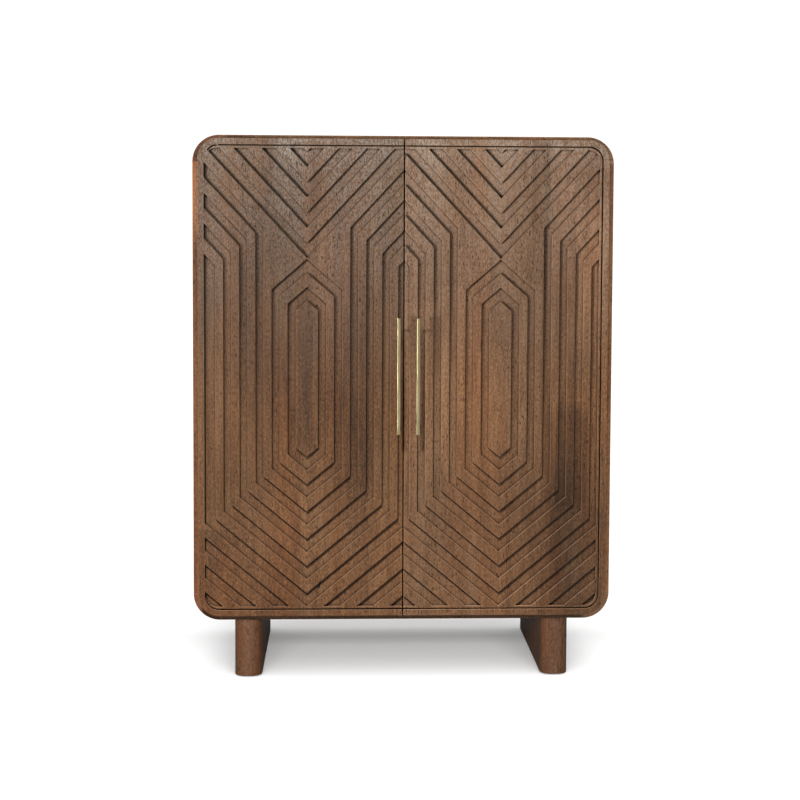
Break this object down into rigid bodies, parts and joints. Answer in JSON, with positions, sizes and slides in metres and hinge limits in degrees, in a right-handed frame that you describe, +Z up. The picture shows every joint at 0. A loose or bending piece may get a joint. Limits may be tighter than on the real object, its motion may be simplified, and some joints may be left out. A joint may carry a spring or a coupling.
{
  "type": "bar cabinet",
  "caption": "Bar cabinet with rounded case corners, carved chevron overlay doors on concealed-barrel hinges, slim brass bar handles and plank legs.",
  "frame": {"origin": "on the floor under the centre of the part's box", "axes": "+Z up, +X to the right seen from the front, the doors face -Y"},
  "size_m": [0.914, 0.48, 1.189],
  "materials": {
    "carved_wood": "satin, greyed brown",
    "case_wood": "satin, reddish brown",
    "inner_wood": "satin",
    "back_board": "matt",
    "brass": "satin antique",
    "steel": "zinc plated",
    "dark_plastic": "moulded",
    "rubber": "soft",
    "felt_pad": "pressed felt"
  },
  "bodies": {
    "case": {"adjustable_shelf": "inner_wood", "back_panel": "back_board", "back_screws": "steel", "bottle_rail_back": "inner_wood", "bottle_rail_front": "inner_wood", "case_bottom": "case_wood", "case_corner_bottom_left": "case_wood", "case_corner_bottom_right": "case_wood", "case_corner_top_left": "case_wood", "case_corner_top_right": "case_wood", "case_side_left": "case_wood", "case_side_right": "case_wood", "case_top": "case_wood", "catch_screws": "steel", "corner_splines": "inner_wood", "fixed_shelf": "inner_wood", "floor_glides": "felt_pad", "hinge_case_leaf_left_high": "brass", "hinge_case_leaf_left_low": "brass", "hinge_case_leaf_left_middle": "brass", "hinge_case_leaf_right_high": "brass", "hinge_case_leaf_right_low": "brass", "hinge_case_leaf_right_middle": "brass", "hinge_pins": "steel", "hinge_screws_case": "steel", "leg_left": "case_wood", "leg_right": "case_wood", "leg_screws": "steel", "magnetic_catch_left": "dark_plastic", "magnetic_catch_right": "dark_plastic", "shelf_pins": "brass", "stemware_rail_1": "inner_wood", "stemware_rail_2": "inner_wood", "stemware_rail_3": "inner_wood", "stemware_rail_4": "inner_wood", "stemware_rail_5": "inner_wood", "stemware_screws": "steel"},
    "door_left": {"door_bumpers_left": "rubber", "door_panel_left": "carved_wood", "door_screws_left": "steel", "handle_bar_left": "brass", "handle_posts_left": "brass", "handle_screws_left": "steel", "hinge_door_leaf_left_high": "brass", "hinge_door_leaf_left_low": "brass", "hinge_door_leaf_left_middle": "brass", "strike_plate_left": "steel"},
    "door_right": {"door_bumpers_right": "rubber", "door_panel_right": "carved_wood", "door_screws_right": "steel", "handle_bar_right": "brass", "handle_posts_right": "brass", "handle_screws_right": "steel", "hinge_door_leaf_right_high": "brass", "hinge_door_leaf_right_low": "brass", "hinge_door_leaf_right_middle": "brass", "strike_plate_right": "steel"}
  },
  "joints": [
    {"name": "left_door_hinge", "type": "hinge", "parent": "case", "child": "door_left", "pos_m": [-0.4405, -0.19, 0.66275], "axis": [0, 0, -1], "range_deg": [0, 95]},
    {"name": "right_door_hinge", "type": "hinge", "parent": "case", "child": "door_right", "pos_m": [0.4405, -0.19, 0.66275], "axis": [0, 0, 1], "range_deg": [0, 95]}
  ]
}
